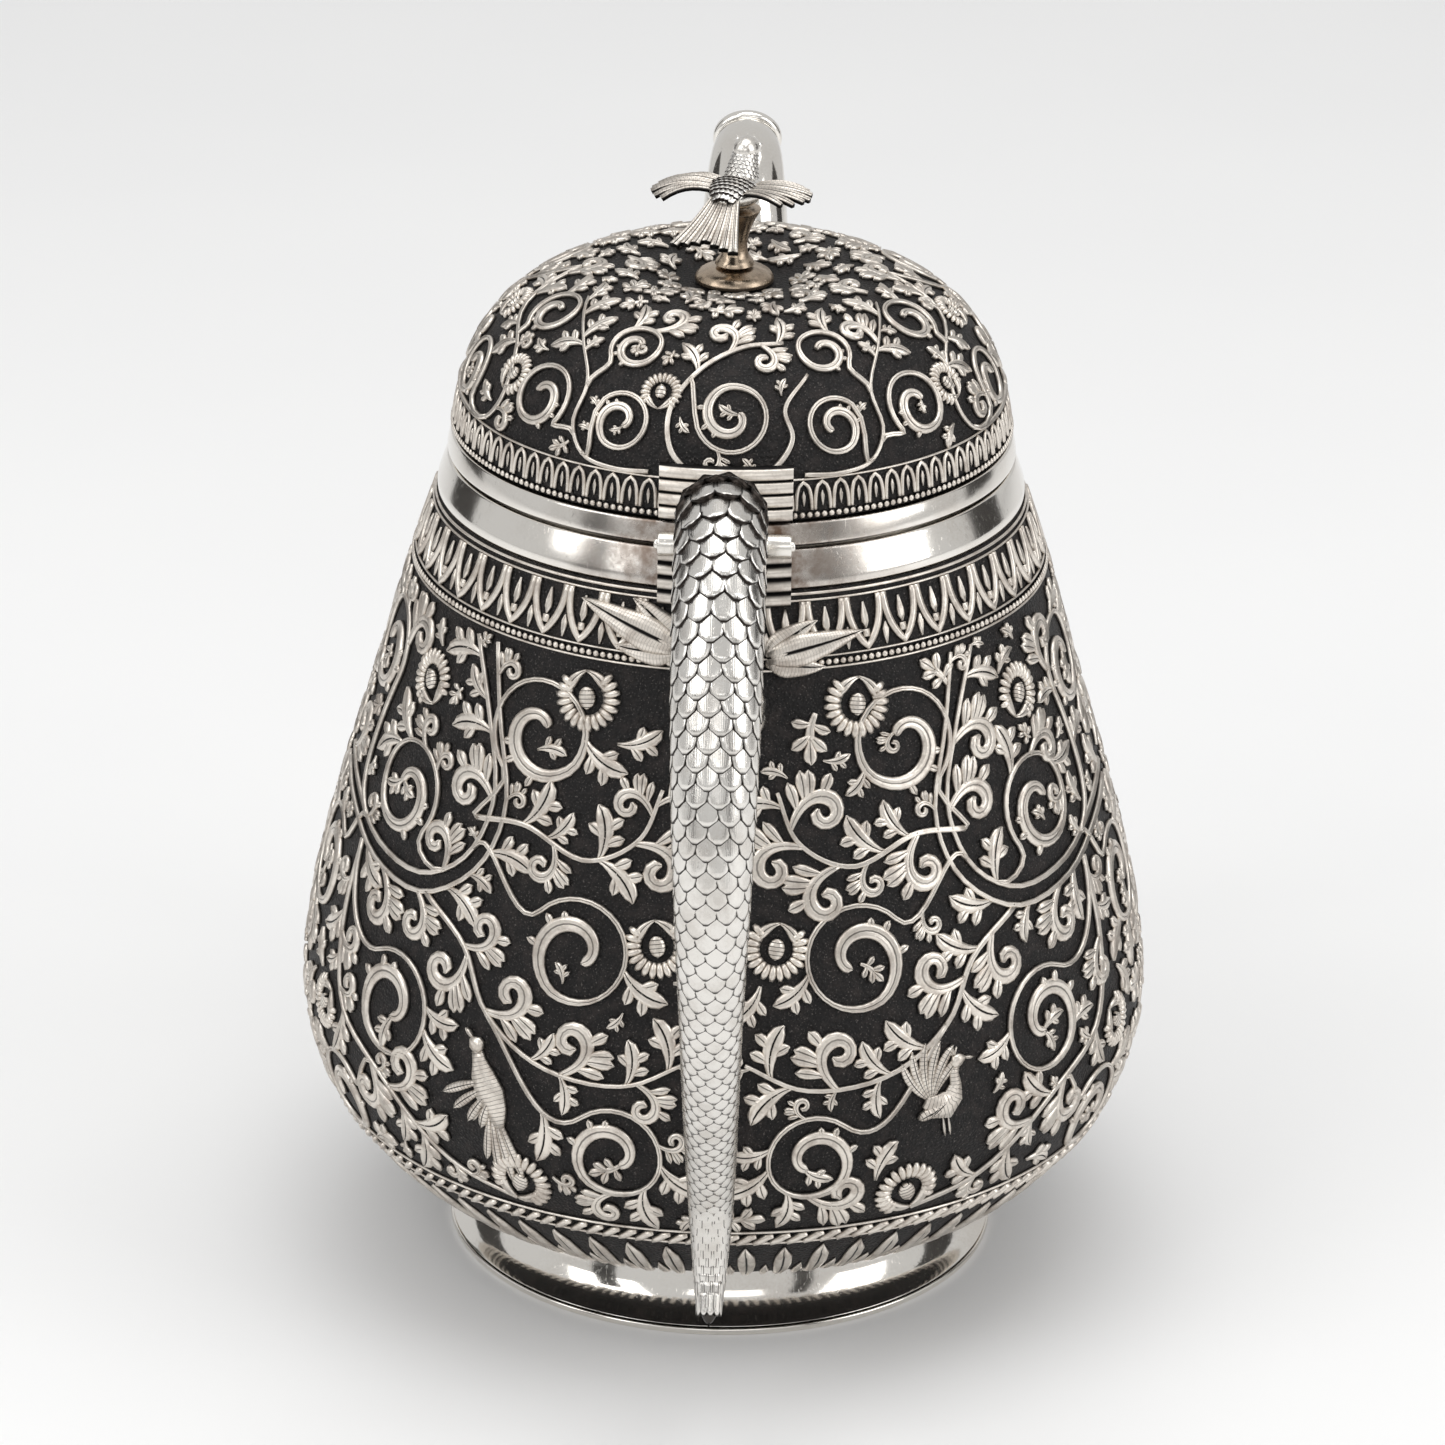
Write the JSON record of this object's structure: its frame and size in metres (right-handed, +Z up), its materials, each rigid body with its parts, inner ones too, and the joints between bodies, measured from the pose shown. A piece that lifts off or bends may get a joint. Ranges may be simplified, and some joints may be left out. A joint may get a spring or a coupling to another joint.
{
  "type": "coffee pot",
  "caption": "Pear-shaped chased silver pot with a hinged domed lid, a bird finial, a scaled serpent-like handle, a swan-neck spout and a flared polished foot.",
  "frame": {"origin": "on the vessel's axis, at the level of the foot's underside", "axes": "+Z up along the vessel's axis; +Y towards the spout; +X to the right when looking along +Y from behind the handle"},
  "size_m": [0.127, 0.2055, 0.1732],
  "materials": {
    "chased_silver": "raised scrollwork in bright silver on a blackened ground",
    "polished_silver": "mirror polished with fine scratches and a little brown tarnish",
    "satin_silver": "cast and chased, satin bright with dark recesses",
    "toned_silver": "polished under a warm brown tarnish"
  },
  "bodies": {
    "pot": {"body_shell": "chased_silver", "collar_ring": "polished_silver", "foot_ring": "polished_silver", "foot_rim_wire": "polished_silver", "spout_tube": "polished_silver", "spout_root_calyx": "satin_silver", "spout_lip_ring": "polished_silver", "spout_strainer": "satin_silver", "handle_tube": "satin_silver", "handle_root_socket": "satin_silver", "handle_lower_strut": "satin_silver", "handle_leaf_left": "satin_silver", "handle_leaf_right": "satin_silver", "hinge_body_leaf": "satin_silver", "hinge_knuckle_body_1": "satin_silver", "hinge_knuckle_body_2": "satin_silver", "hinge_knuckle_body_3": "satin_silver", "hinge_pin": "satin_silver"},
    "lid": {"lid_dome": "chased_silver", "lid_rim_band": "polished_silver", "lid_flange": "satin_silver", "hinge_lid_leaf": "satin_silver", "hinge_knuckle_lid_1": "satin_silver", "hinge_knuckle_lid_2": "satin_silver", "finial_button": "toned_silver", "finial_stem": "toned_silver", "finial_washer": "satin_silver", "finial_nut": "satin_silver", "finial_bird_body": "satin_silver", "finial_wing_left": "satin_silver", "finial_wing_right": "satin_silver", "finial_tail": "satin_silver"}
  },
  "joints": [
    {"name": "lid_hinge", "type": "hinge", "parent": "pot", "child": "lid", "pos_m": [0, -0.0457, 0.1285], "axis": [1, 0, 0], "range_deg": [0, 74]}
  ]
}
